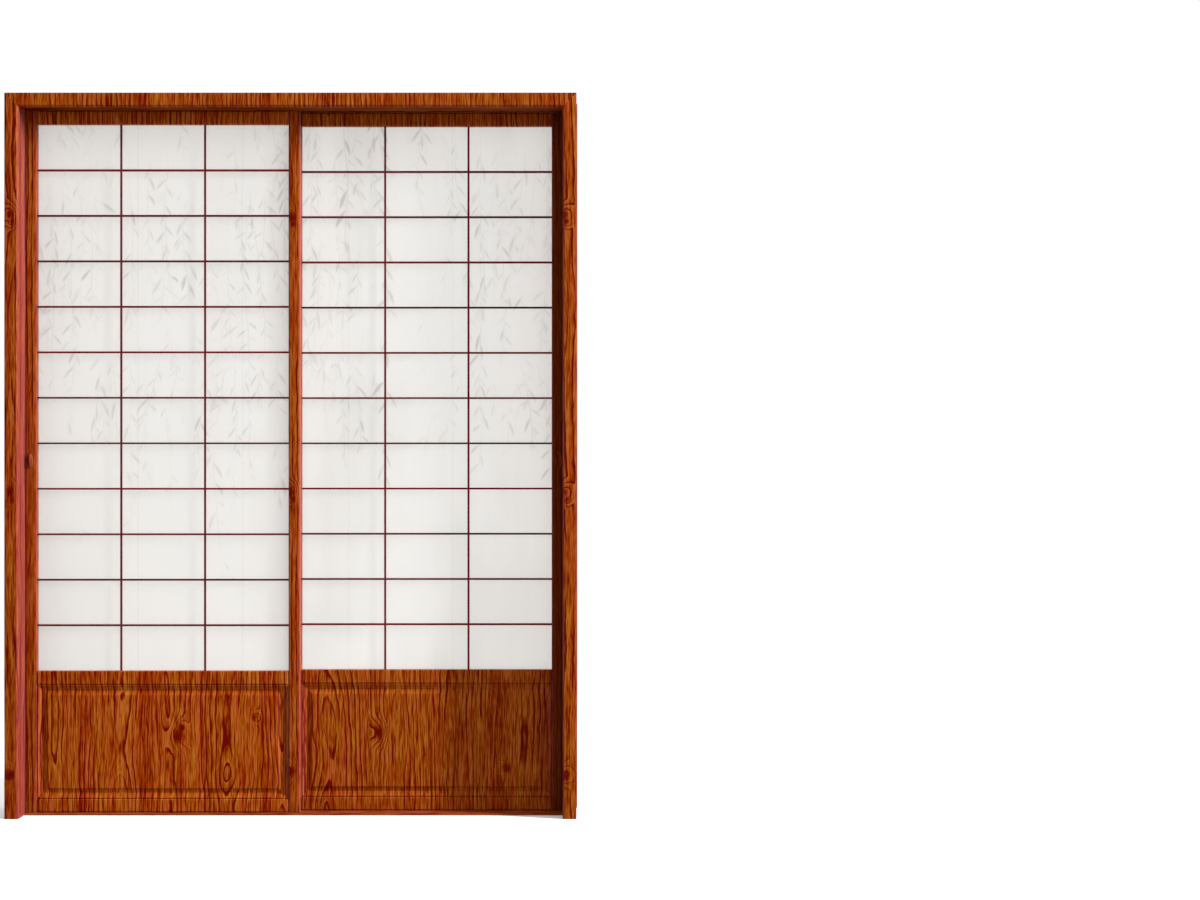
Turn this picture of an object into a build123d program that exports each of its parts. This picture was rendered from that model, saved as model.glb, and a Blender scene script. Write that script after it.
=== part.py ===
from build123d import *
import math
import os

# A two-leaf sliding door hung in its own timber frame. Millimetres, +Z up, front towards -Y.
# The origin is on the floor, under the middle of the doorway and of the frame's depth.

# Doorway and frame
opening_width = 1574.0          # between the faces of the jambs
opening_height = 2060.0         # floor to the underside of the head
lining_depth = 174.0            # front to back, between the casings
jamb_thickness = 30.0
head_thickness = 30.0
jamb_housing = 6.0              # how far a jamb's top is let into the head
casing_width = 40.0
casing_thickness = 20.0
casing_bevel = 5.0              # along the casing's inner front edge
quirk_width = 4.0               # shadow groove in the lining, behind each casing
quirk_depth = 3.0
threshold_height = 6.0
threshold_nosing = 13.5         # threshold in front of and behind the leaves

# Leaves and their tracks
leaf_thickness = 30.0
leaf_spacing = 5.0              # air between the front leaf and the rear leaf
jamb_clearance = 1.0            # between a closed leaf and its jamb
shoulder_clearance = 1.0        # between a leaf's shoulders and the threshold or head
tongue_thickness = 20.0         # of the edge that runs in a track
tongue_rise = 8.0               # how far a leaf reaches up into the head
track_clearance = 0.5           # each side of a tongue
track_seat = 0.3                # under a leaf, in the threshold's track
threshold_track_depth = 3.0
head_track_depth = 15.0         # deep enough to lift a leaf out

# Framing of one leaf
stile_width = 33.0
bottom_rail_height = 39.0
middle_rail_height = 40.0
top_rail_height = 39.0
panel_opening_height = 334.0    # between the bottom rail and the middle rail
tenon_length = 24.0
tenon_thickness = 10.0
tenon_shoulder = 12.0           # above and below each tenon
framing_bevel = 3.0             # round the faces of the framing, so its joints show as a V
arris = 0.8                     # eased edges of the threshold and the casings
joint_fit = 0.1                 # round every tenon, stub, plug and lap

# Lattice and paper
row_count = 12
column_count = 3
upright_width = 5.9
upright_depth = 5.0             # let into the crossbars, flush with their front
crossbar_height = 5.1
crossbar_depth = 14.0
lattice_setback = 6.0           # lattice behind the leaf's front face
bar_stub = 6.0                  # end of a bar, let into the framing
bar_arris = 0.4
paper_thickness = 2.0           # laminated sheet glued behind the lattice
paper_lap = 7.5                 # sheet over the framing, in its rebate
rebate_clearance = 0.5          # round the sheet

# Raised panel and its mouldings
panel_setback = 3.5             # raised field behind the leaf's front face
panel_margin_setback = 10.0     # flat margin behind the leaf's front face
panel_margin_thickness = 10.0
panel_tongue = 8.0              # edge of the panel in its groove
groove_clearance = 2.0          # room for the panel to swell
valley_width = 1.0              # flat between the moulding and the field's slope
field_slope = 14.0              # width of the slope up to the raised field
field_hollow = 1.2              # how far that slope is hollowed
moulding_width = 16.0
moulding_bevel = 3.0            # from the outer edge up to the crest
moulding_setback = 1.5          # crest behind the leaf's front face
moulding_drop = 7.0             # from the crest down to the inner edge
moulding_hollow = 0.8           # how far the face is hollowed below a straight slope

# Pulls
pull_centre_height = 1036.0
pull_offset = 14.0              # from the leaf's outer edge to the middle of its pull
pull_width = 18.0
pull_length = 48.0
pull_rise = 14.0                # in front of the leaf
peg_diameter = 8.0
peg_length = 12.0
cup_width = 20.0
cup_length = 56.0
cup_depth = 10.0
cup_wall = 2.0
cup_floor = 3.0

# Places that follow from the sizes above
leaf_width = (opening_width - 2 * jamb_clearance + stile_width) / 2
leaf_reach = opening_width / 2 - jamb_clearance
track_offset = (leaf_thickness + leaf_spacing) / 2
threshold_depth = 2 * (leaf_thickness + leaf_spacing / 2 + threshold_nosing)
shoulder_bottom = threshold_height + shoulder_clearance
shoulder_top = opening_height - shoulder_clearance
tongue_bottom = threshold_height - threshold_track_depth + track_seat
tongue_top = opening_height + tongue_rise
panel_opening = (
    shoulder_bottom + bottom_rail_height,
    shoulder_bottom + bottom_rail_height + panel_opening_height,
)
lattice_opening = (panel_opening[1] + middle_rail_height, shoulder_top - top_rail_height)
lattice_back = lattice_setback + crossbar_depth


def block(x, y, z):
    # A box between the low and high ends given for each direction.
    size = [high - low for low, high in (x, y, z)]
    middle = [(low + high) / 2 for low, high in (x, y, z)]
    return Pos(*middle) * Box(*size)


def grow(span, amount):
    return (span[0] - amount, span[1] + amount)


def about(middle, width):
    return (middle - width / 2, middle + width / 2)


def board(x, y, z, grain, ease):
    # A planed board whose long edges are eased.
    plank = block(x, y, z)
    return chamfer(plank.edges().filter_by(grain), ease)


def lattice_depth(front, depth):
    return (front + lattice_setback, front + lattice_setback + depth)


def tracks(z):
    # The two grooves that the leaves' tongues run in.
    run = (-opening_width / 2, opening_width / 2)
    width = tongue_thickness + 2 * track_clearance
    return block(run, about(-track_offset, width), z) + block(run, about(track_offset, width), z)


def threshold():
    plank = board(
        (-opening_width / 2, opening_width / 2),
        about(0, threshold_depth),
        (0, threshold_height),
        Axis.X,
        arris,
    )
    return plank - tracks((threshold_height - threshold_track_depth, threshold_height))


def quirks(x, z):
    # Shadow grooves at the front and the back of a lining board, over its visible face.
    edge = lining_depth / 2
    return block(x, (-edge, quirk_width - edge), z) + block(x, (edge - quirk_width, edge), z)


def jamb(side):
    face = side * opening_width / 2
    x = sorted((face, face + side * jamb_thickness))
    height = opening_height + jamb_housing
    quirk = sorted((face, face + side * quirk_depth))
    return block(x, about(0, lining_depth), (0, height)) - quirks(quirk, (0, opening_height))


def head():
    reach = opening_width / 2 + jamb_thickness
    lining = block(
        (-reach, reach),
        about(0, lining_depth),
        (opening_height, opening_height + head_thickness),
    )
    lining -= tracks((opening_height, opening_height + head_track_depth))
    lining -= quirks(about(0, opening_width), (opening_height, opening_height + quirk_depth))
    for side in (-1, 1):
        lining -= jamb(side)
    return lining


def slab(outline, y):
    # A plate whose outline lies in the plane of the wall, between two depths.
    points = [(across, y[0], up) for across, up in outline]
    return extrude(make_face(Polyline(*points, close=True)), amount=y[1] - y[0], dir=(0, 1, 0))


def shown_edges(plate, grain, face):
    # The long edges of a casing's shown face, the one nearest the doorway first.
    shown = plate.edges().filter_by(grain).group_by(Axis.Y)[0 if face < 0 else -1]
    return shown.sort_by(lambda edge: edge.distance_to(Vertex(0, 0, 0)))


def casing(outline, face, grain):
    # A mitred board on the wall; face is -1 at the front of the frame and 1 at its back.
    wall = face * lining_depth / 2
    plate = slab(outline, sorted((wall, wall + face * casing_thickness)))
    plate = chamfer(shown_edges(plate, grain, face)[0], casing_bevel)
    return chamfer(shown_edges(plate, grain, face)[-1], arris)


def side_casing(side, face):
    inner = side * opening_width / 2
    outer = inner + side * casing_width
    top = opening_height + casing_width
    outline = [(inner, 0), (inner, opening_height), (outer, top), (outer, 0)]
    return casing(outline, face, Axis.Z)


def head_casing(face):
    inner = opening_width / 2
    outer = inner + casing_width
    top = opening_height + casing_width
    outline = [(-inner, opening_height), (inner, opening_height), (outer, top), (-outer, top)]
    return casing(outline, face, Axis.X)


def tenon_span(rail):
    return grow(rail, -tenon_shoulder)


def stile(x, front, inner, rails):
    # inner is 1 where the framing lies to the stile's right, -1 where it lies to its left.
    thickness = (front, front + leaf_thickness)
    piece = board(x, thickness, (tongue_bottom, tongue_top), Axis.Z, framing_bevel)
    waste = (leaf_thickness - tongue_thickness) / 2
    for end in ((tongue_bottom, shoulder_bottom), (shoulder_top, tongue_top)):
        piece -= block(x, (thickness[0], thickness[0] + waste), end)
        piece -= block(x, (thickness[1] - waste, thickness[1]), end)
    face = x[1] if inner > 0 else x[0]

    def sunk(depth):
        return sorted((face, face - inner * depth))

    groove = about(front + panel_margin_setback + panel_margin_thickness / 2, panel_margin_thickness)
    piece -= block(sunk(panel_tongue + groove_clearance), groove,
                   grow(panel_opening, panel_tongue + groove_clearance))
    piece -= block(sunk(paper_lap + rebate_clearance), (front + lattice_back, thickness[1]),
                   grow(lattice_opening, paper_lap + rebate_clearance))
    mortise = grow(about(front + leaf_thickness / 2, tenon_thickness), joint_fit)
    for rail in rails:
        piece -= block(sunk(tenon_length + joint_fit), mortise, grow(tenon_span(rail), joint_fit))
    housing = grow(lattice_depth(front, crossbar_depth), joint_fit)
    for height in bar_heights():
        bar = grow(about(height, crossbar_height), joint_fit)
        piece -= block(sunk(bar_stub + joint_fit), housing, bar)
    return piece


def rail(x, front, z, low_tongue, high_tongue, panel_side, paper_side, upright_places):
    # panel_side and paper_side are -1 for the rail's lower edge, 1 for its upper edge, 0 for neither.
    thickness = (front, front + leaf_thickness)
    piece = block(x, thickness, z)
    piece = chamfer(piece.edges().filter_by(Axis.Y, reverse=True), framing_bevel)
    tongue = about(front + leaf_thickness / 2, tongue_thickness)
    if low_tongue:
        piece += block(x, tongue, (tongue_bottom, z[0]))
    if high_tongue:
        piece += block(x, tongue, (z[1], tongue_top))
    tenon = about(front + leaf_thickness / 2, tenon_thickness)
    piece += block(grow(x, tenon_length), tenon, tenon_span(z))

    def sunk(side, depth):
        edge = z[1] if side > 0 else z[0]
        return sorted((edge, edge - side * depth))

    if panel_side:
        groove = about(front + panel_margin_setback + panel_margin_thickness / 2, panel_margin_thickness)
        piece -= block(x, groove, sunk(panel_side, panel_tongue + groove_clearance))
    if paper_side:
        rebate = (front + lattice_back, thickness[1])
        piece -= block(x, rebate, sunk(paper_side, paper_lap + rebate_clearance))
        housing = grow(lattice_depth(front, upright_depth), joint_fit)
        for place in upright_places:
            stub = grow(about(place, upright_width), joint_fit)
            piece -= block(stub, housing, sunk(paper_side, bar_stub + joint_fit))
    return piece


def bar_heights():
    pitch = (lattice_opening[1] - lattice_opening[0]) / row_count
    return [lattice_opening[0] + pitch * row for row in range(1, row_count)]


def bar_places(x):
    pitch = (x[1] - x[0]) / column_count
    return [x[0] + pitch * column for column in range(1, column_count)]


def upright(place, front):
    # Lies in the crossbars, and its ends are let into the rails.
    depth = lattice_depth(front, upright_depth)
    return board(about(place, upright_width), depth, grow(lattice_opening, bar_stub), Axis.Z, bar_arris)


def crossbar(height, x, front):
    depth = lattice_depth(front, crossbar_depth)
    z = about(height, crossbar_height)
    piece = board(grow(x, bar_stub), depth, z, Axis.X, bar_arris)
    for place in bar_places(x):
        notch = about(place, upright_width + 2 * joint_fit)
        piece -= block(notch, (depth[0], depth[0] + upright_depth), z)
    return piece


def paper(x, front):
    back = front + lattice_back
    return block(grow(x, paper_lap), (back, back + paper_thickness), grow(lattice_opening, paper_lap))


def field_section(width, front):
    # Across the panel's opening: the raised field between its two hollowed slopes.
    foot = moulding_width + valley_width
    crest = foot + field_slope
    low, high = front + panel_margin_setback, front + panel_setback
    middle, level = (foot + crest) / 2, (low + high) / 2 + field_hollow
    near = ThreePointArc((foot, low), (middle, level), (crest, high))
    far = ThreePointArc((width - crest, high), (width - middle, level), (width - foot, low))
    field = Line((crest, high), (width - crest, high))
    base = Line((width - foot, low), (foot, low))
    return make_face(near + field + far + base)


def raised_field(x, front):
    # The slopes of the two directions meet in mitres.
    z = panel_opening
    width, height = x[1] - x[0], z[1] - z[0]
    upright = Pos(x[0], 0, z[0]) * extrude(field_section(width, front), height)
    level = Pos(x[1], 0, z[0]) * Rot(0, -90, 0) * extrude(field_section(height, front), width)
    return upright & level


def panel(x, front):
    margin = front + panel_margin_setback
    plate = block(grow(x, panel_tongue), (margin, margin + panel_margin_thickness),
                  grow(panel_opening, panel_tongue))
    return plate + raised_field(x, front)


def moulding_section(front):
    # In a frame where x runs in from the opening's edge and y runs back from the leaf's face.
    crest, inner = front + moulding_setback, front + moulding_setback + moulding_drop
    back = front + panel_margin_setback
    middle = ((moulding_bevel + moulding_width) / 2, (crest + inner) / 2 + moulding_hollow)
    face = ThreePointArc((moulding_bevel, crest), middle, (moulding_width, inner))
    rest = Polyline((moulding_width, inner), (moulding_width, back), (0, back),
                    (0, crest + moulding_bevel), (moulding_bevel, crest))
    return make_face(face + rest)


def mouldings(x, front):
    # Four strips round the panel, mitred at the corners.
    z = panel_opening
    width, height = x[1] - x[0], z[1] - z[0]
    upright_strip = extrude(moulding_section(front), height)
    level_strip = extrude(moulding_section(front), width)
    strips = {
        "left": Pos(x[0], 0, z[0]) * upright_strip,
        "right": Pos(x[1], 0, z[0]) * mirror(upright_strip, Plane.YZ),
        "bottom": Pos(x[1], 0, z[0]) * Rot(0, -90, 0) * level_strip,
        "top": Pos(x[0], 0, z[1]) * Rot(0, 90, 0) * level_strip,
    }
    outer = [(x[0], z[0]), (x[1], z[0]), (x[1], z[1]), (x[0], z[1])]
    wide, tall = grow(x, -moulding_width), grow(z, -moulding_width)
    inner = [(wide[0], tall[0]), (wide[1], tall[0]), (wide[1], tall[1]), (wide[0], tall[1])]
    corners = {"bottom": (0, 1), "right": (1, 2), "top": (2, 3), "left": (3, 0)}
    mitred = {}
    for side, (first, second) in corners.items():
        outline = [outer[first], outer[second], inner[second], inner[first]]
        mitred[side] = strips[side] & slab(outline, (front, front + panel_margin_setback))
    return mitred


def lens(width, length, depth, inset=0.0):
    # A pointed oval that goes back from the face of a stile, between two arcs.
    radius = (width**2 + length**2) / (4 * width)
    arcs = []
    for side in (-1, 1):
        middle = side * (radius - width / 2)
        arcs.append(Pos(middle, depth / 2, 0) * Rot(90, 0, 0) * Cylinder(radius - inset, depth))
    return arcs[0] & arcs[1]


def boat(width, length, rise):
    # Two facets meet in an upright ridge, and each is curved from tip to tip.
    slope = math.atan2(rise, width / 2)
    reach = width / 2 * math.sin(slope)
    radius = (reach**2 + (length / 2) ** 2) / (2 * reach)
    back = reach - radius
    middle = Pos(back * math.sin(slope), -back * math.cos(slope), 0)
    right = middle * Rot(0, 0, math.degrees(slope)) * Rot(0, 90, 0) * Cylinder(radius, 4 * radius)
    left = mirror(right, Plane.YZ)
    return right & left & block(about(0, 2 * width), (-2 * rise, 0), about(0, 2 * length))


def peg(radius):
    return Pos(0, peg_length / 2, 0) * Rot(90, 0, 0) * Cylinder(radius, peg_length)


def raised_pull():
    return boat(pull_width, pull_length, pull_rise) + peg(peg_diameter / 2)


def flush_pull():
    hollow = lens(cup_width, cup_length, cup_depth - cup_floor, cup_wall)
    return lens(cup_width, cup_length, cup_depth) - hollow


def leaf(name, left, front, pull_side, pull, pull_hole):
    right = left + leaf_width
    x = (left + stile_width, right - stile_width)
    rails = {
        "bottom_rail": (shoulder_bottom, panel_opening[0]),
        "middle_rail": (panel_opening[1], lattice_opening[0]),
        "top_rail": (lattice_opening[1], shoulder_top),
    }
    stiles = {
        "left_stile": stile((left, x[0]), front, 1, rails.values()),
        "right_stile": stile((x[1], right), front, -1, rails.values()),
    }
    pull_x = left + pull_offset if pull_side == "left" else right - pull_offset
    pull_place = Pos(pull_x, front, pull_centre_height)
    stiles[pull_side + "_stile"] -= pull_place * pull_hole
    pieces = dict(stiles)
    places = bar_places(x)
    pieces["bottom_rail"] = rail(x, front, rails["bottom_rail"], True, False, 1, 0, places)
    pieces["middle_rail"] = rail(x, front, rails["middle_rail"], False, False, -1, 1, places)
    pieces["top_rail"] = rail(x, front, rails["top_rail"], False, True, 0, -1, places)
    for number, place in enumerate(places, 1):
        pieces["upright_%d" % number] = upright(place, front)
    for number, height in enumerate(bar_heights(), 1):
        pieces["crossbar_%02d" % number] = crossbar(height, x, front)
    pieces["paper"] = paper(x, front)
    pieces["panel"] = panel(x, front)
    for side, strip in mouldings(x, front).items():
        pieces["moulding_" + side] = strip
    pieces["pull"] = pull_place * pull
    return {name + "_" + piece: solid for piece, solid in pieces.items()}


def frame():
    pieces = {
        "threshold": threshold(),
        "head": head(),
        "left_jamb": jamb(-1),
        "right_jamb": jamb(1),
    }
    for place, face in (("front", -1), ("back", 1)):
        pieces[place + "_head_casing"] = head_casing(face)
        pieces[place + "_left_casing"] = side_casing(-1, face)
        pieces[place + "_right_casing"] = side_casing(1, face)
    return pieces


front_face = -leaf_spacing / 2 - leaf_thickness
rear_face = leaf_spacing / 2
raised_hole = peg(peg_diameter / 2 + joint_fit)
flush_hole = lens(cup_width, cup_length, cup_depth + joint_fit, -joint_fit)
door = frame()
door.update(leaf("front_leaf", -leaf_reach, front_face, "left", raised_pull(), raised_hole))
door.update(leaf("rear_leaf", leaf_reach - leaf_width, rear_face, "right", flush_pull(), flush_hole))

os.makedirs("parts", exist_ok=True)
for node, solid in door.items():
    export_step(solid, "parts/" + node + ".step")
print(len(door), "pieces")
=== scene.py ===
import math
import random

import bpy
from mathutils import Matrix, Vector


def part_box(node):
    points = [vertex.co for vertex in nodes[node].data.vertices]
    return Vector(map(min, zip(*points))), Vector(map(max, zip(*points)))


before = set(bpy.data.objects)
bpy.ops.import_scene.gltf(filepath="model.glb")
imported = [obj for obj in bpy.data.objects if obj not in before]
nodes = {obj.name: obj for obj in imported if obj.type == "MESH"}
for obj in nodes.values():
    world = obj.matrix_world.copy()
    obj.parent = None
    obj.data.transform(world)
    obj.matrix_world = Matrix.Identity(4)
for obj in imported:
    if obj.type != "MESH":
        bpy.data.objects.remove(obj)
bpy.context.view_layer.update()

print("frame loaded:", len(nodes), "pieces")


# Small helpers for shader trees

def srgb(red, green, blue):
    # a colour as a paint chart gives it, 0 to 255, turned linear for the shader
    linear = []
    for share in (red / 255, green / 255, blue / 255):
        linear.append(share / 12.92 if share <= 0.04045 else ((share + 0.055) / 1.055) ** 2.4)
    return (*linear, 1.0)


def fillInputs(tree, node, inputs):
    # an input takes a link from another node's output, or a plain value
    for key, value in inputs.items():
        if isinstance(value, bpy.types.NodeSocket):
            tree.links.new(value, node.inputs[key])
        else:
            node.inputs[key].default_value = value


def addNode(tree, kind, inputs=None, **settings):
    node = tree.nodes.new(kind)
    for name, value in settings.items():
        setattr(node, name, value)
    fillInputs(tree, node, inputs or {})
    return node


def useGroup(tree, group, inputs):
    return addNode(tree, "ShaderNodeGroup", inputs, node_tree=group).outputs


def calc(tree, operation, *values, clamp=False):
    inputs = dict(enumerate(values))
    return addNode(tree, "ShaderNodeMath", inputs, operation=operation, use_clamp=clamp).outputs[0]


def plus(tree, first, *others):
    for value in others:
        first = calc(tree, "ADD", first, value)
    return first


def minus(tree, first, second):
    return calc(tree, "SUBTRACT", first, second)


def times(tree, first, *others):
    for value in others:
        first = calc(tree, "MULTIPLY", first, value)
    return first


def scaled(tree, value, factor, offset, clamp=False):
    return calc(tree, "MULTIPLY_ADD", value, factor, offset, clamp=clamp)


def centred(tree, noise, depth):
    # a noise about 0.5 turned into a swing of half the depth to either side of zero
    return scaled(tree, noise, depth, -depth / 2)


def distance(tree, one, other):
    return calc(tree, "SQRT", plus(tree, times(tree, one, one), times(tree, other, other)))


def fade(tree, value, start, end, low=0.0, high=1.0):
    # smooth step from low to high while value goes from start to end
    inputs = {"Value": value, "From Min": start, "From Max": end, "To Min": low, "To Max": high}
    node = addNode(tree, "ShaderNodeMapRange", inputs, interpolation_type="SMOOTHSTEP")
    return node.outputs["Result"]


def blendColour(tree, factor, first, second, mode="MIX"):
    # the mix node's colours are its inputs 6 and 7 and its output 2
    inputs = {"Factor": factor, 6: first, 7: second}
    node = addNode(tree, "ShaderNodeMix", inputs, data_type="RGBA", blend_type=mode)
    return node.outputs[2]


def splitPlace(tree, vector):
    parts = addNode(tree, "ShaderNodeSeparateXYZ", {0: vector})
    return parts.outputs["X"], parts.outputs["Y"], parts.outputs["Z"]


def joinPlace(tree, x, y, z):
    return addNode(tree, "ShaderNodeCombineXYZ", {0: x, 1: y, 2: z}).outputs[0]


def shadeColour(tree, colour, shade):
    return blendColour(tree, 1.0, colour, joinPlace(tree, shade, shade, shade), "MULTIPLY")


def cloud(tree, place, scale, detail=2.0, roughness=0.5):
    # noise with its own scale in each direction, about 0.5
    stretched = addNode(tree, "ShaderNodeVectorMath", {0: place, 1: scale}, operation="MULTIPLY")
    inputs = {"Vector": stretched.outputs[0], "Scale": 1.0, "Detail": detail, "Roughness": roughness}
    return addNode(tree, "ShaderNodeTexNoise", inputs).outputs[0]


def chances(tree, inputs, dimensions):
    # three random numbers from 0 to 1 that belong to one stave, strand or leaf
    node = addNode(tree, "ShaderNodeTexWhiteNoise", inputs, noise_dimensions=dimensions)
    return splitPlace(tree, node.outputs["Color"])


def objectPlace(tree):
    return addNode(tree, "ShaderNodeTexCoord").outputs["Object"]


def newGroup(name, inputs, outputs):
    group = bpy.data.node_groups.new(name, "ShaderNodeTree")
    for label, kind in inputs:
        group.interface.new_socket(label, in_out="INPUT", socket_type="NodeSocket" + kind)
    for label, kind in outputs:
        group.interface.new_socket(label, in_out="OUTPUT", socket_type="NodeSocket" + kind)
    return group, group.nodes.new("NodeGroupInput").outputs, group.nodes.new("NodeGroupOutput")


def newMaterial(name):
    material = bpy.data.materials.new(name)
    material.use_nodes = True
    tree = material.node_tree
    return material, tree, tree.nodes["Principled BSDF"]


def dress(node, material):
    for slot in nodes[node].material_slots:
        slot.material = material


# The timber: a red-brown wood with dark red veins, short streaks and knots, under satin lacquer.
# As in the picture, its figure stands upright on every face, on the rails too.

timber = {
    "shades": (                          # from the palest wood to the darkest vein
        (0.00, (177, 97, 36)),
        (0.22, (162, 80, 24)),
        (0.45, (150, 65, 2)),
        (0.62, (139, 51, 0)),
        (0.80, (122, 30, 0)),
        (1.00, (96, 2, 0)),
    ),
    "leanYellow": (0.99, 1.12, 0.80, 1),
    "leanRed": (1.01, 0.82, 1.05, 1),    # in bands the same wood leans to yellow or to red
    "knot": (88, 0, 0),
    # pale pink of rubbed edges and tracks; on the edges it is also a painted highlight
    "wornAndHighlight": (168, 80, 50),
    "side": (142, 62, 70),               # painted sheen: a pink-red laid on the boards' side faces, which catch the light at a low angle
    "paintedSheenShare": 0.5,
    "bar": (104, 10, 42),                # stain of the thin lattice bars; with their low tones it is partly painted shade of bars standing dark against the lit sheet
    "roughness": 0.33,
    "fibreRoughness": 0.22,
    "veinGloss": -0.07,
    "lacquer": 0.12,                     # specular level
    "lacquerTint": (1.0, 0.50, 0.16, 1.0),
    "sheen": 0.03,                       # haze of the lacquer seen at a low angle
    "sheenRoughness": 0.4,
    "sheenTint": (0.9, 0.50, 0.80, 1.0),
    "easing": 0.0010,                    # radius of the eased edges, in metres
    "crown": 1.3,                        # how far a narrow board's face is rounded
    "toneSpread": (0.97, 1.03),          # from board to board
    "start": (-9, 9),                    # where in the wood a board is cut, in metres
}
narrowBoard = {
    "pithAcross": (0.030, 0.060),        # metres from the middle of the face to the pith
    "pithBelow": (0.015, 0.035),         # metres from the face down to the pith
    "red": (0.0, 0.35),
    "wander": 0.30,                      # how far the pith strays along the board
    "contrast": 1.08,
}
wideBoard = {
    "stave": 0.178,                      # metres between two seams
    "slope": 0.12,                       # the figure runs on over sloping edges
    "start": 7.0,                        # metres by which staves are shifted along the grain
    "step": 3.7,                         # metres in the wood from one stave to the next
    "tone": (0.10, 0.95),                # this pair and the two below: spread and lowest value
    "pithAcross": (0.07, -0.035),
    "red": (1.3, -0.2),
    "pithBelow": 0.012,
    "seamFade": (0.060, 0.004),          # redder toward a stave's left seam
    "wander": 1.0,
    "contrast": 1.18,
}
figure = {
    "ringGap": 0.0135,                   # metres between two veins
    "fineRings": 3.0,                    # thin rings to each vein
    "knotLength": 1.35,                  # of a knot along the grain, beside its width
    # scale per metre across, through and along the grain, then detail and, if not 0.5, roughness
    "noises": {
        "sway": ((6.0, 6.0, 2.4), 2.0),
        "wobble": ((30.0, 30.0, 14.0), 1.0),
        "lift": ((2.2, 2.2, 2.5), 1.0),
        "ruffle": ((90.0, 90.0, 26.0), 2.0),
        "patch": ((11.0, 11.0, 2.6), 2.0),
        "streak": ((175.0, 175.0, 9.0), 2.0, 0.62),
        "tick": ((310.0, 310.0, 25.0), 1.0),
        "fibre": ((800.0, 800.0, 15.0), 3.0, 0.6),
        "pore": ((1200.0, 1200.0, 60.0), 2.0),
        "drift": ((17.0, 17.0, 1.4), 2.0),
        "band": ((42.0, 42.0, 2.8), 2.0),
    },
    "steps": {                           # where each smooth step starts and ends
        "swell": (0.055, 0.0),
        "lateStart": (0.62, 0.88),
        "lateEnd": (1.0, 0.94),
        "early": (0.42, 0.04),
        "patch": (0.43, 0.60, 0.18, 1.0),
        "fineStart": (0.2, 0.8),
        "fineEnd": (1.0, 0.85),
        "pore": (0.60, 0.70),
        "knot": (0.024, 0.007, 0.0, 0.60),
        "core": (0.0085, 0.0050),
        "band": (0.36, 0.64),
    },
    "depths": {                          # the first three and the last two in metres
        "sway": 0.060,
        "wobble": 0.0070,
        "lift": 0.17,
        "ruffle": 0.28,
        "swell": 2.6,
        "ground": 0.345,
        "vein": 0.92,
        "pale": -0.26,
        "fineRing": 0.12,
        "streak": 1.70,
        "tick": 1.50,
        "fibre": 0.80,
        "drift": 0.40,
        "pore": 0.16,
        "red": 0.24,
        "redBand": 0.6,
        "knotEdge": 0.022,
        "coreEdge": 0.003,
    },
    "relief": {                          # metres
        "vein": 0.00006,
        "fibre": 0.00010,
        "streak": 0.00010,
        "pore": -0.00007,
    },
}
wearAndPaintedLight = {
    "edge": (0.985, 0.85),               # how far an edge bends before it is rubbed paler and given a painted highlight
    "edgeWearAndHighlightShare": 0.10,
    "sideFace": (0.3, 0.9),
    "wallFace": (0.802, 0.812),          # metres from the middle to the sides that stand in the wall
    "wallSheenCut": -0.5,
    "wallShare": 0.35,
    "grooveStart": 0.0003,
    "grooveEnd": -0.0004,
    "grooveShadeShare": 0.9,
    "handReach": (0.17, 0.03),           # metres above and below the pull
    "handGrain": (0.50, 0.40, 0.5, 1.0),
    "handShare": 0.16,
    "handGloss": -0.10,
    "trackEdge": 0.0005,
    "trackShare": 0.35,
    "trackGloss": -0.15,
}


def tintWood(tree, colour, share, stain):
    return blendColour(tree, share, colour, srgb(*timber[stain]))


def timberColour(tree, share):
    ramp = addNode(tree, "ShaderNodeValToRGB", {0: share})
    elements = ramp.color_ramp.elements
    elements[0].position, elements[1].position = 0.0, 1.0
    for position, shade in timber["shades"][1:-1]:
        elements.new(position)
    for element, (position, shade) in zip(elements, timber["shades"]):
        element.color = srgb(*shade)
    return ramp.outputs[0]


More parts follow.
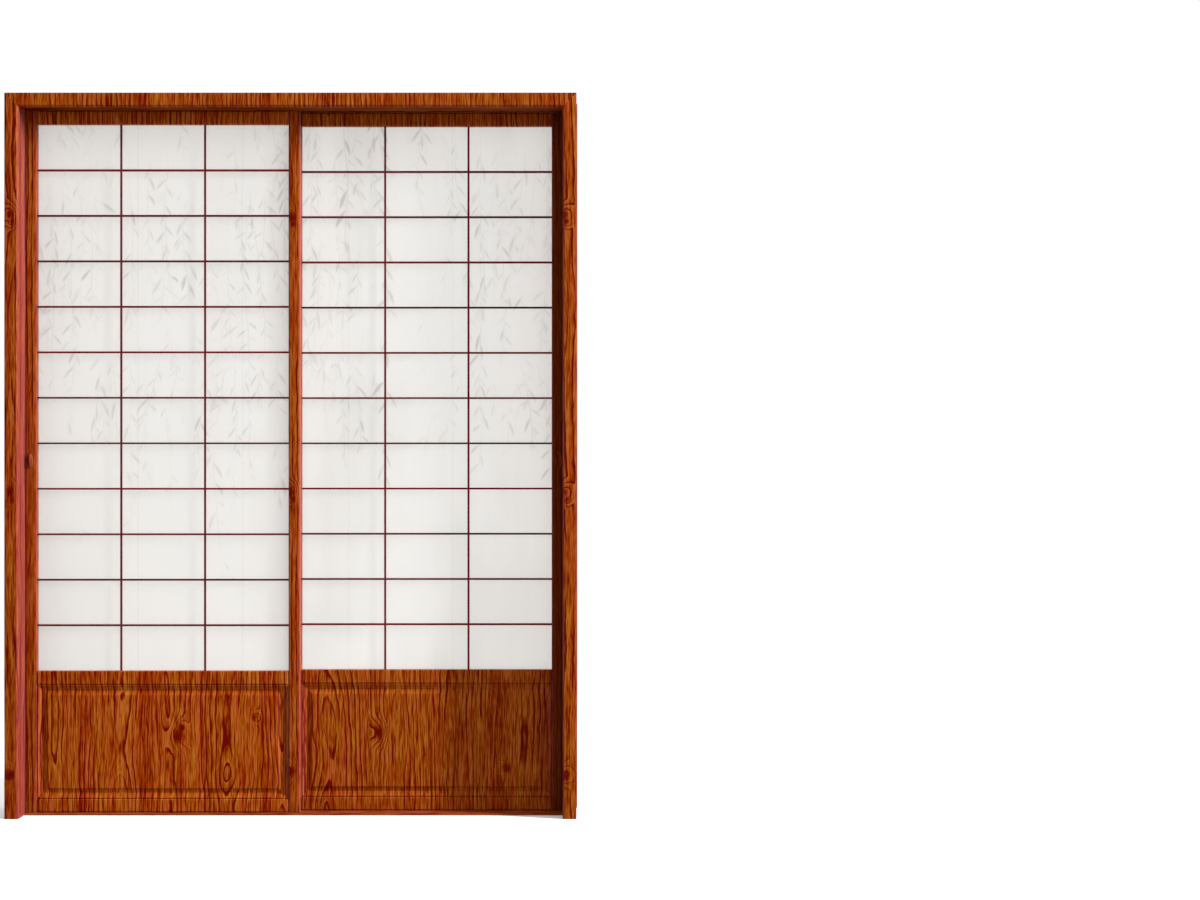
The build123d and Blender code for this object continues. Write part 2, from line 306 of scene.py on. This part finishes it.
def makeTimberGroup():
    # place is in the board's own directions: x across its face, y through it, z along the grain
    inputs = [("Place", "Vector"), ("Knot", "Float"), ("Tone", "Float"), ("Red", "Float"),
              ("Pith Across", "Float"), ("Pith Below", "Float"), ("Local X", "Float"),
              ("Wander", "Float"), ("Contrast", "Float")]
    outputs = [("Colour", "Color"), ("Roughness", "Float"), ("Height", "Float")]
    tree, given, end = newGroup("timberFigure", inputs, outputs)
    place, knot, wander = given["Place"], given["Knot"], given["Wander"]
    depths, relief = figure["depths"], figure["relief"]

    def noise(name):
        return cloud(tree, place, *figure["noises"][name])

    def step(name, value):
        return fade(tree, value, *figure["steps"][name])

    def straying(name):
        return times(tree, minus(tree, noise(name), 0.5), times(tree, wander, depths[name]))

    # veins are year rings about a pith that wanders behind the face
    wobble = centred(tree, noise("wobble"), depths["wobble"])
    fromPith = minus(tree, given["Local X"], given["Pith Across"])
    fromPith = plus(tree, fromPith, plus(tree, straying("sway"), wobble))
    below = plus(tree, splitPlace(tree, place)[1], given["Pith Below"], straying("lift"))
    ruffle = noise("ruffle")
    swell = times(tree, step("swell", knot), depths["swell"])
    phase = plus(tree, calc(tree, "DIVIDE", distance(tree, fromPith, below), figure["ringGap"]),
                 scaled(tree, ruffle, depths["ruffle"], swell))
    turn = calc(tree, "FRACT", phase)
    strength = step("patch", noise("patch"))
    vein = times(tree, step("lateStart", turn), step("lateEnd", turn), strength)
    pale = times(tree, step("early", turn), strength)
    fineTurn = calc(tree, "FRACT", times(tree, phase, figure["fineRings"]))
    fineRing = times(tree, step("fineStart", fineTurn), step("fineEnd", fineTurn))

    # short streaks, finer fibres and pores along the grain
    streak, tick, fibre = noise("streak"), noise("tick"), noise("fibre")
    pore = step("pore", noise("pore"))

    # how dark the wood is at each point
    share = scaled(tree, vein, depths["vein"], depths["ground"])
    share = scaled(tree, pale, depths["pale"], share)
    share = scaled(tree, fineRing, depths["fineRing"], share)
    swings = {"streak": streak, "tick": tick, "fibre": fibre, "drift": noise("drift")}
    for name, value in swings.items():
        share = plus(tree, share, centred(tree, value, depths[name]))
    share = scaled(tree, pore, depths["pore"], share)
    share = scaled(tree, minus(tree, share, 0.5), given["Contrast"], 0.5)
    red = calc(tree, "MAXIMUM", given["Red"], 0.0)
    share = scaled(tree, red, depths["red"], share)
    ragged = plus(tree, knot, centred(tree, ruffle, depths["knotEdge"]))
    share = plus(tree, share, step("knot", ragged))

    # at the same depth the wood leans to red in some bands and to yellow in others
    band = scaled(tree, red, depths["redBand"], step("band", noise("band")), clamp=True)
    lean = blendColour(tree, band, timber["leanYellow"], timber["leanRed"])
    colour = blendColour(tree, 1.0, timberColour(tree, share), lean, "MULTIPLY")
    core = step("core", scaled(tree, fibre, depths["coreEdge"], ragged))
    colour = tintWood(tree, colour, core, "knot")
    colour = shadeColour(tree, colour, given["Tone"])

    rough = scaled(tree, fibre, timber["fibreRoughness"], timber["roughness"])
    rough = scaled(tree, vein, timber["veinGloss"], rough)
    height = scaled(tree, vein, relief["vein"], times(tree, fibre, relief["fibre"]))
    height = scaled(tree, streak, relief["streak"], height)
    height = scaled(tree, pore, relief["pore"], height)
    fillInputs(tree, end, {"Colour": colour, "Roughness": rough, "Height": height})
    return tree


timberFigure = makeTimberGroup()


def knotDistance(tree, x, z, knots):
    # distance on the face to the nearest knot, drawn out along the grain
    nearest = None
    for knotX, knotZ, size in knots:
        away = distance(tree, calc(tree, "DIVIDE", minus(tree, x, knotX), size),
                        calc(tree, "DIVIDE", minus(tree, z, knotZ), size * figure["knotLength"]))
        nearest = away if nearest is None else calc(tree, "MINIMUM", nearest, away)
    return 1.0 if nearest is None else nearest


def boardDirections(node):
    # which way a board's face, thickness and grain lie, read from its own box
    low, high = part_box(node)
    size = high - low
    order = sorted(range(3), key=lambda axis: size[axis])
    return order[1], order[0], order[2]


def cutWideBoard(tree, dice, x, y, grainZ, tone):
    # glued up from staves, each with its own figure and tone, redder at its left seam
    stave = wideBoard["stave"]
    inStaves = scaled(tree, x, 1 / stave, dice.uniform(0, 1))
    cell = calc(tree, "FLOOR", inStaves)
    seam = times(tree, calc(tree, "FRACT", inStaves), stave)
    one, two, three = chances(tree, {"W": plus(tree, cell, dice.uniform(0, 50))}, "1D")
    toneSwing, toneStart = wideBoard["tone"]
    place = joinPlace(tree, scaled(tree, cell, wideBoard["step"], x),
                      times(tree, y, wideBoard["slope"]),
                      scaled(tree, one, wideBoard["start"], grainZ))
    return {
        "Place": place,
        "Tone": scaled(tree, two, toneSwing * tone, toneStart * tone),
        "Local X": minus(tree, seam, stave / 2),
        "Pith Across": scaled(tree, three, *wideBoard["pithAcross"]),
        "Pith Below": wideBoard["pithBelow"],
        "Red": times(tree, fade(tree, seam, *wideBoard["seamFade"]),
                     scaled(tree, two, *wideBoard["red"])),
    }


def cutNarrowBoard(tree, dice, x, y, grainZ, tone, settings, fromMiddle):
    place = joinPlace(tree, plus(tree, x, dice.uniform(*timber["start"])), y, grainZ)
    pithAcross = dice.uniform(*narrowBoard["pithAcross"]) * dice.choice((-1, 1))
    pithBelow = dice.uniform(*narrowBoard["pithBelow"])
    red = dice.uniform(*narrowBoard["red"])
    return {
        "Place": place,
        "Tone": tone,
        "Local X": fromMiddle,
        "Pith Across": settings.get("pithAcross", pithAcross),
        "Pith Below": pithBelow,
        "Red": settings.get("red", red),
    }


def makeTimber(node, settings):
    dice = random.Random(settings.get("log", node))
    material, tree, shader = newMaterial("timber_" + node)
    across, through, along = settings.get("directions") or boardDirections(node)
    parts = splitPlace(tree, objectPlace(tree))
    x, y, z = parts[across], parts[through], parts[along]
    tone = settings.get("tone", 1.0) * dice.uniform(*timber["toneSpread"])
    low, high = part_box(node)
    centre = (low + high) / 2
    fromMiddle = minus(tree, x, centre[across])
    grainZ = plus(tree, z, dice.uniform(*timber["start"]))
    if settings.get("wide"):
        kind = wideBoard
        inputs = cutWideBoard(tree, dice, x, y, grainZ, tone)
    else:
        kind = narrowBoard
        inputs = cutNarrowBoard(tree, dice, x, y, grainZ, tone, settings, fromMiddle)
    inputs["Knot"] = knotDistance(tree, x, z, settings.get("knots", ()))
    for name in ("wander", "contrast"):
        inputs[name.title()] = settings.get(name, kind[name])
    wood = useGroup(tree, timberFigure, inputs)
    colour, rough, height = wood["Colour"], wood["Roughness"], wood["Height"]

    # eased edges catch the light and carry a pale painted highlight that is partly wear; side faces get
    # a painted pink-red sheen, with less of it and a darker colour where they stand in the wall
    eased = addNode(tree, "ShaderNodeBevel", {"Radius": timber["easing"]}, samples=4).outputs[0]
    flat = addNode(tree, "ShaderNodeNewGeometry").outputs["Normal"]
    bend = addNode(tree, "ShaderNodeVectorMath", {0: eased, 1: flat}, operation="DOT_PRODUCT")
    sideFace = fade(tree, calc(tree, "ABSOLUTE", splitPlace(tree, eased)[0]), *wearAndPaintedLight["sideFace"])
    outward = calc(tree, "ABSOLUTE", parts[0])
    wallFace = times(tree, sideFace, fade(tree, outward, *wearAndPaintedLight["wallFace"]))
    paintedSideSheen = times(tree, scaled(tree, wallFace, wearAndPaintedLight["wallSheenCut"], sideFace),
                   settings.get("paintedSheenShare", timber["paintedSheenShare"]))
    colour = tintWood(tree, colour, settings.get("stain", 0.0), "bar")
    colour = tintWood(tree, colour, times(tree, wallFace, wearAndPaintedLight["wallShare"]), "knot")
    # painted sheen: the side faces are tinted pink-red
    colour = tintWood(tree, colour, paintedSideSheen, "side")
    if "groove" in settings:
        # painted shade: the shadow grooves behind the casings are darkened toward the knot colour
        start, end = settings["groove"]
        paintedGrooveShade = times(tree, fade(tree, outward, start, start + wearAndPaintedLight["grooveStart"]),
                      fade(tree, outward, end, end + wearAndPaintedLight["grooveEnd"]), wearAndPaintedLight["grooveShadeShare"])
        colour = tintWood(tree, colour, paintedGrooveShade, "knot")
    # the eased edges are rubbed paler and tinted pink: wear and a painted highlight
    rubbedAndHighlit = times(tree, fade(tree, bend.outputs["Value"], *wearAndPaintedLight["edge"]), wearAndPaintedLight["edgeWearAndHighlightShare"])
    colour = tintWood(tree, colour, rubbedAndHighlit, "wornAndHighlight")
    if "handled" in settings:
        # hands darken and polish the wood round the pull
        fromPull = calc(tree, "ABSOLUTE", minus(tree, z, settings["handled"]))
        touched = times(tree, fade(tree, fromPull, *wearAndPaintedLight["handReach"]),
                        fade(tree, rough, *wearAndPaintedLight["handGrain"]))
        colour = tintWood(tree, colour, times(tree, touched, wearAndPaintedLight["handShare"]), "knot")
        rough = scaled(tree, touched, wearAndPaintedLight["handGloss"], rough)
    if "polishedBelow" in settings:
        # the leaves have rubbed the floors of the tracks
        floor = settings["polishedBelow"]
        slid = fade(tree, parts[2], floor + wearAndPaintedLight["trackEdge"], floor - wearAndPaintedLight["trackEdge"])
        colour = tintWood(tree, colour, times(tree, slid, wearAndPaintedLight["trackShare"]), "wornAndHighlight")
        rough = scaled(tree, slid, wearAndPaintedLight["trackGloss"], rough)
    if settings.get("crowned"):
        height = scaled(tree, times(tree, fromMiddle, fromMiddle), -timber["crown"], height)
    bump = addNode(tree, "ShaderNodeBump", {"Strength": 1.0, "Distance": 1.0,
                                            "Height": height, "Normal": eased}).outputs[0]
    fillInputs(tree, shader, {
        "Base Color": colour, "Roughness": rough, "Normal": bump,
        "Specular IOR Level": timber["lacquer"], "Specular Tint": timber["lacquerTint"],
        "Sheen Weight": settings.get("sheen", timber["sheen"]),
        "Sheen Roughness": timber["sheenRoughness"], "Sheen Tint": timber["sheenTint"]})
    return material


# Which boards differ from the rest. Knots are (across, along, size), in metres from the origin;
# handled is the height of a pull, polishedBelow that of the tracks' floors.

knotPairs = [(0.0, 1.748, 0.70), (0.005, 1.728, 0.45), (0.0, 0.944, 0.70), (0.005, 0.925, 0.45),
             (0.0, 0.128, 0.70)]


def knotsAt(place):
    return [(place + across, along, size) for across, along, size in knotPairs]


boards = {
    "front_leaf_right_stile": {"knots": knotsAt(-0.008)},
    "front_leaf_left_stile": {"tone": 0.93, "handled": 1.036},
    # painted shade: this stile, shaded by the right jamb, is toned much darker and redder
    "rear_leaf_right_stile": {"tone": 0.52, "red": 0.7, "contrast": 0.5, "handled": 1.036},
    "front_leaf_pull": {"tone": 0.62, "red": 0.4, "contrast": 0.8, "paintedSheenShare": 0.2},
    "rear_leaf_pull": {"tone": 0.80, "contrast": 0.6},
    "left_jamb": {"pithAcross": 0.145, "wander": 0.14, "groove": (0.7871, 0.7906)},
    "right_jamb": {"pithAcross": -0.150, "wander": 0.14, "groove": (0.7871, 0.7906)},
    # painted shade: the head lining, seen from below in shade, is toned darker
    "head": {"sheen": 0.0, "tone": 0.75, "pithAcross": 0.140, "wander": 0.14},
    "threshold": {"pithAcross": -0.155, "wander": 0.14, "polishedBelow": 0.0045},
    "front_left_casing": {"knots": knotsAt(-0.811)},
    "front_right_casing": {"knots": knotsAt(0.793)},
    "front_leaf_panel": {"knots": [(-0.338, 0.232, 1.0), (-0.331, 0.252, 0.6), (-0.117, 0.285, 0.5)]},
    "rear_leaf_panel": {"knots": [(0.245, 0.235, 0.9), (0.620, 0.130, 0.6)]},
}
grainUpright = (0, 1, 2)                 # the axes across a board's face, through it, along its grain
grainAcross = (2, 1, 0)
# painted light: the front leaf's rails, panels and mouldings are toned lighter than the rear leaf's,
# which stands deeper in shade
paintedLeafLight = {"front": 1.12, "rear": 1.0}
topWander = 0.35                         # the boards at the top have calmer veins
# the bars' low tones and dark stain are partly painted shade
latticeBars = {
    "upright": {"red": 0.8, "contrast": 0.5, "tone": 0.62, "stain": 0.65},
    "crossbar": {"red": 0.8, "contrast": 0.5, "tone": 0.50, "stain": 0.5, "directions": grainAcross},
}


def boardSettings(node):
    settings = dict(boards.get(node, {}))
    if any(word in node for word in ("rail", "panel", "moulding", "bar", "upright", "casing", "pull")):
        settings["directions"] = grainUpright
    if any(word in node for word in ("rail", "panel", "moulding_top", "moulding_bottom")):
        leaf = node.split("_")[0]
        settings.update(wide=True, log=leaf, tone=paintedLeafLight[leaf])
    if "head_casing" in node or "top_rail" in node:
        settings.update(wide=True, wander=topWander)
    if "stile" in node or ("casing" in node and "head" not in node):
        settings["crowned"] = True
    for bar, stained in latticeBars.items():
        if bar in node:
            settings.update(stained)
    return settings


for node in sorted(nodes):
    if "paper" not in node:
        dress(node, makeTimber(node, boardSettings(node)))
print("timber dressed")


# The paper: warm white laminated sheet with long fibres and a faint grey print of hanging fronds

paper = {
    "sheet": (222, 221, 219),
    "ink": (138, 134, 126),
    "wash": ((3.5, 1.0, 1.1), 3.0),      # noises are given as the wood's are
    "washStep": (0.42, 0.68),
    "washDepth": {                       # of the print's broad clouds
        "front_leaf_paper": 0.02,
        "rear_leaf_paper": 0.09,
    },
    "patch": ((5.0, 1.0, 3.4), 2.0),
    "patchStep": (0.48, 0.60, 0.05, 1.0),
    "seams": (0.153, 0.307),             # where one seam of the paper lies, and their spacing
    "seamEdge": (0.0020, 0.0008),
    "seamDepth": -0.055,
    "frontFace": (-0.2, -0.6),           # only the front is printed
    "streak": ((140.0, 1.0, 1.6), 3.0),
    "streakDepth": -0.030,
    "hair": ((70.0, 30.0, 9.0), 4.0, 0.7),
    "hairEdge": (0.006, 0.0),
    "hairDepth": -0.02,
    "roughness": (0.3, 0.7, 0.62, 0.78),
    "gloss": 0.2,
    "relief": 0.0003,
    "reliefShare": 0.15,
    "translucence": 0.86,                # share of the light that goes through the sheet
    "glow": 0.95,                        # painted light: the sheet glows with its own colour, evening out the light through it
}
fronds = {
    "swayScale": (2.4, 2.0),
    "sway": 0.16,
    "strand": (0.3, 0.35),               # where in its column a strand hangs
    "drop": -0.45,                       # how much lower some strands end
    "tipFade": (0.0, 0.05),
    "stemEdge": (0.0016, 0.0006),
    "stemDepth": 0.5,
    "leafGap": 0.92,                     # between leaves on one side of a strand, in leaf lengths
    "start": 5.0,                        # leaves by which one strand is shifted against another
    "lean": (0.75, 0.22),
    "bow": 2.0,
    "leafSize": (0.55, 0.50),
    "leafWidth": 0.34,
    "leafEdge": (-0.0010, 0.0026),
    "leafThere": (0.22, 0.30),
    "leafDepth": (0.55, 0.45),
    "strandThere": (0.28, 0.30),
}

# each sheet's curtains of fronds: spacing, leaf length, seed, height of the lowest tip, depth of ink
curtains = {
    "front_leaf_paper": [(0.090, 0.066, 3.1, 1.20, 0.30), (0.055, 0.056, 8.4, 1.25, 0.26),
                         (0.050, 0.044, 12.7, 1.30, 0.22), (0.042, 0.062, 5.2, 1.10, 0.18)],
    "rear_leaf_paper": [(0.095, 0.066, 6.6, 1.25, 0.30), (0.060, 0.056, 1.9, 1.30, 0.26),
                        (0.052, 0.044, 14.1, 1.35, 0.22), (0.044, 0.062, 9.3, 1.15, 0.18)],
}


def makeFrondGroup():
    # one curtain of fronds: strands hang a spacing apart, with leaves to either side of each
    inputs = [("X", "Float"), ("Z", "Float"), ("Spacing", "Float"), ("Leaf", "Float"),
              ("Seed", "Float"), ("Hang", "Float")]
    tree, given, end = newGroup("frond", inputs, [("Ink", "Float")])
    x, z, spacing, leaf, seed, hang = [given[name] for name, kind in inputs]
    scaleX, scaleZ = fronds["swayScale"]
    swayPlace = joinPlace(tree, times(tree, x, scaleX), seed, times(tree, z, scaleZ))
    sway = addNode(tree, "ShaderNodeTexNoise", {"Vector": swayPlace, "Scale": 1.0, "Detail": 1.0})
    bent = scaled(tree, sway.outputs[0], fronds["sway"], x)
    column = calc(tree, "FLOOR", calc(tree, "DIVIDE", bent, spacing))
    one, two, three = chances(tree, {"Vector": joinPlace(tree, column, seed, 0.0)}, "3D")
    middle = times(tree, plus(tree, column, scaled(tree, one, *fronds["strand"])), spacing)
    side = minus(tree, bent, middle)
    tip = scaled(tree, two, fronds["drop"], hang)
    hanging = fade(tree, minus(tree, z, tip), *fronds["tipFade"])
    stem = fade(tree, calc(tree, "ABSOLUTE", side), *fronds["stemEdge"])
    ink = times(tree, stem, fronds["stemDepth"])
    gap = times(tree, leaf, fronds["leafGap"])
    for sign, offset in ((1.0, 0.0), (-1.0, 0.5)):
        # leaves alternate down the strand, each a slim lens that points down and out
        start = plus(tree, offset, times(tree, three, fronds["start"]))
        step = plus(tree, calc(tree, "DIVIDE", z, gap), start)
        rank = calc(tree, "FLOOR", step)
        below = times(tree, minus(tree, 1.0, calc(tree, "FRACT", step)), gap)
        out = times(tree, side, sign)
        leafPlace = joinPlace(tree, column, rank, offset)
        luckOne, luckTwo, luckThree = chances(tree, {"Vector": leafPlace}, "3D")
        lean = scaled(tree, luckThree, *fronds["lean"])
        sine, cosine = calc(tree, "SINE", lean), calc(tree, "COSINE", lean)
        along = plus(tree, times(tree, out, sine), times(tree, below, cosine))
        offAxis = minus(tree, times(tree, out, cosine), times(tree, below, sine))
        offAxis = plus(tree, offAxis, times(tree, along, along, fronds["bow"]))
        size = times(tree, leaf, scaled(tree, luckTwo, *fronds["leafSize"]))
        share = calc(tree, "DIVIDE", along, size, clamp=True)
        width = times(tree, times(tree, share, minus(tree, 1.0, share)),
                      times(tree, size, fronds["leafWidth"]))
        blade = fade(tree, minus(tree, width, calc(tree, "ABSOLUTE", offAxis)), *fronds["leafEdge"])
        blade = times(tree, blade, fade(tree, luckOne, *fronds["leafThere"]),
                      scaled(tree, luckTwo, *fronds["leafDepth"]))
        ink = calc(tree, "MAXIMUM", ink, blade)
    ink = times(tree, ink, hanging, fade(tree, one, *fronds["strandThere"]))
    fillInputs(tree, end, {"Ink": ink})
    return tree


frond = makeFrondGroup()


def makePaper(node):
    material, tree, shader = newMaterial("laminated_" + node)
    place = objectPlace(tree)
    x, y, z = splitPlace(tree, place)
    ink = 0.0
    for spacing, leaf, seed, hang, depth in curtains[node]:
        curtain = useGroup(tree, frond, {"X": x, "Z": z, "Spacing": spacing, "Leaf": leaf,
                                         "Seed": seed, "Hang": hang})["Ink"]
        patches = cloud(tree, joinPlace(tree, x, seed, z), *paper["patch"])
        patch = fade(tree, patches, *paper["patchStep"])
        ink = calc(tree, "MAXIMUM", ink, times(tree, curtain, depth, patch))
    wash = fade(tree, cloud(tree, place, *paper["wash"]), *paper["washStep"])
    wash = times(tree, wash, paper["washDepth"][node])
    front = splitPlace(tree, addNode(tree, "ShaderNodeNewGeometry").outputs["True Normal"])[1]
    ink = times(tree, plus(tree, ink, wash), fade(tree, front, *paper["frontFace"]))

    seamAt, spacing = paper["seams"]
    seam = calc(tree, "FRACT", scaled(tree, x, 1 / spacing, 0.5 - seamAt / spacing))
    seam = calc(tree, "ABSOLUTE", times(tree, minus(tree, seam, 0.5), spacing))
    streak = cloud(tree, place, *paper["streak"])
    hairs = cloud(tree, place, *paper["hair"])
    hair = fade(tree, calc(tree, "ABSOLUTE", minus(tree, hairs, 0.5)), *paper["hairEdge"])
    shade = scaled(tree, streak, paper["streakDepth"], 1.0 - paper["streakDepth"] / 2)
    shade = scaled(tree, hair, paper["hairDepth"], shade)
    shade = scaled(tree, fade(tree, seam, *paper["seamEdge"]), paper["seamDepth"], shade)
    colour = blendColour(tree, ink, srgb(*paper["sheet"]), srgb(*paper["ink"]))
    colour = shadeColour(tree, colour, shade)
    bump = addNode(tree, "ShaderNodeBump", {"Strength": paper["reliefShare"], "Height": hairs,
                                            "Distance": paper["relief"]}).outputs[0]
    # the sheet's emission is painted light that makes it glow evenly
    fillInputs(tree, shader, {
        "Base Color": colour, "Roughness": fade(tree, hairs, *paper["roughness"]), "Normal": bump,
        "Specular IOR Level": paper["gloss"],
        "Emission Color": colour, "Emission Strength": paper["glow"]})
    through = addNode(tree, "ShaderNodeBsdfTranslucent", {"Color": colour, "Normal": bump}).outputs[0]
    sheet = {0: paper["translucence"], 1: shader.outputs[0], 2: through}
    sheet = addNode(tree, "ShaderNodeMixShader", sheet).outputs[0]
    tree.links.new(sheet, tree.nodes["Material Output"].inputs["Surface"])
    return material


for node in sorted(curtains):
    dress(node, makePaper(node))
print("paper dressed")


# The studio: a pale floor that fades to white, one tall lamp on the right, one lamp behind, a soft sky

studio = {
    "skyStrength": 0.68,
    "skySlant": 0.60,                    # how much brighter the sky is on the right than overhead
    "floorAlbedo": 0.28,                 # how much light the floor throws back on the object
    "floorRoughness": 0.9,
    "floorSize": 30.0,
    "floorFade": (1.7, 3.2),             # metres from the middle where the floor turns plain white
    "floorLift": 0.16,
    "lampsAim": (0, 0, 1.05),
    "lamps": {                           # power, width, height, distance, degrees to the right and up
        "keyLamp": (3000.0, 1.0, 4.5, 14.0, 73.5, 24.0),
        "backLamp": (100.0, 2.0, 2.0, 5.5, 184.0, 12.0),
    },
}
white = (1, 1, 1, 1)


def seenDirectly(tree):
    # true for rays that show the surroundings: straight, mirrored or through glass
    path = addNode(tree, "ShaderNodeLightPath").outputs
    seen = calc(tree, "MAXIMUM", path["Is Camera Ray"], path["Is Glossy Ray"])
    return calc(tree, "MAXIMUM", seen, path["Is Transmission Ray"])


def makeSky():
    world = bpy.data.worlds.new("studioSky")
    world.use_nodes = True
    bpy.context.scene.world = world
    tree = world.node_tree
    toRight = splitPlace(tree, addNode(tree, "ShaderNodeTexCoord").outputs["Generated"])[0]
    light = scaled(tree, toRight, studio["skyStrength"] * studio["skySlant"], studio["skyStrength"])
    strength = addNode(tree, "ShaderNodeMix", {0: seenDirectly(tree), 2: light, 3: 1.0}).outputs[0]
    fillInputs(tree, tree.nodes["Background"], {"Color": white, "Strength": strength})


def makeFloor():
    bpy.ops.mesh.primitive_plane_add(size=studio["floorSize"], location=(0, 0, 0))
    floor = bpy.context.object
    floor.name = "studioFloor"
    material, tree, shader = newMaterial("studioFloor")
    seen = seenDirectly(tree)
    pale = blendColour(tree, seen, (*[studio["floorAlbedo"]] * 3, 1), white)
    fillInputs(tree, shader, {"Base Color": pale, "Roughness": studio["floorRoughness"],
                              "Specular IOR Level": 0.0})
    x, y, z = splitPlace(tree, objectPlace(tree))
    far = times(tree, fade(tree, distance(tree, x, y), *studio["floorFade"]), seen)
    lift = {"Color": white, "Strength": times(tree, seen, studio["floorLift"])}
    lift = addNode(tree, "ShaderNodeEmission", lift).outputs[0]
    near = addNode(tree, "ShaderNodeAddShader", {0: shader.outputs[0], 1: lift}).outputs[0]
    glow = addNode(tree, "ShaderNodeEmission", {"Color": white, "Strength": 1.0}).outputs[0]
    both = addNode(tree, "ShaderNodeMixShader", {0: far, 1: near, 2: glow}).outputs[0]
    tree.links.new(both, tree.nodes["Material Output"].inputs["Surface"])
    floor.data.materials.append(material)


def makeLamp(name, power, width, height, away, turn, rise):
    turn, rise = math.radians(turn), math.radians(rise)
    toLamp = Vector((math.sin(turn) * math.cos(rise), -math.cos(turn) * math.cos(rise), math.sin(rise)))
    data = bpy.data.lights.new(name, "AREA")
    data.shape = "RECTANGLE"
    data.size, data.size_y = width, height
    data.energy = power
    lamp = bpy.data.objects.new(name, data)
    lamp.location = Vector(studio["lampsAim"]) + toLamp * away
    lamp.rotation_euler = (-toLamp).to_track_quat("-Z", "Y").to_euler()
    lamp.visible_camera = False
    bpy.context.scene.collection.objects.link(lamp)


# The camera stands right of the door's middle, as in the picture, and looks straight ahead
cameraPlace = {
    "location": (0.895, -6.107, 1.067),
    "lens": 62.28,
    "sensor": 36.0,
}


def makeCamera():
    data = bpy.data.cameras.new("camera")
    data.lens = cameraPlace["lens"]
    data.sensor_width = cameraPlace["sensor"]
    camera = bpy.data.objects.new("camera", data)
    camera.location = cameraPlace["location"]
    camera.rotation_euler = (math.radians(90), 0, 0)
    bpy.context.scene.collection.objects.link(camera)
    bpy.context.scene.camera = camera


makeSky()
makeFloor()
for name, place in studio["lamps"].items():
    makeLamp(name, *place)
makeCamera()
bpy.context.scene.view_settings.view_transform = "Standard"
print("studio ready")
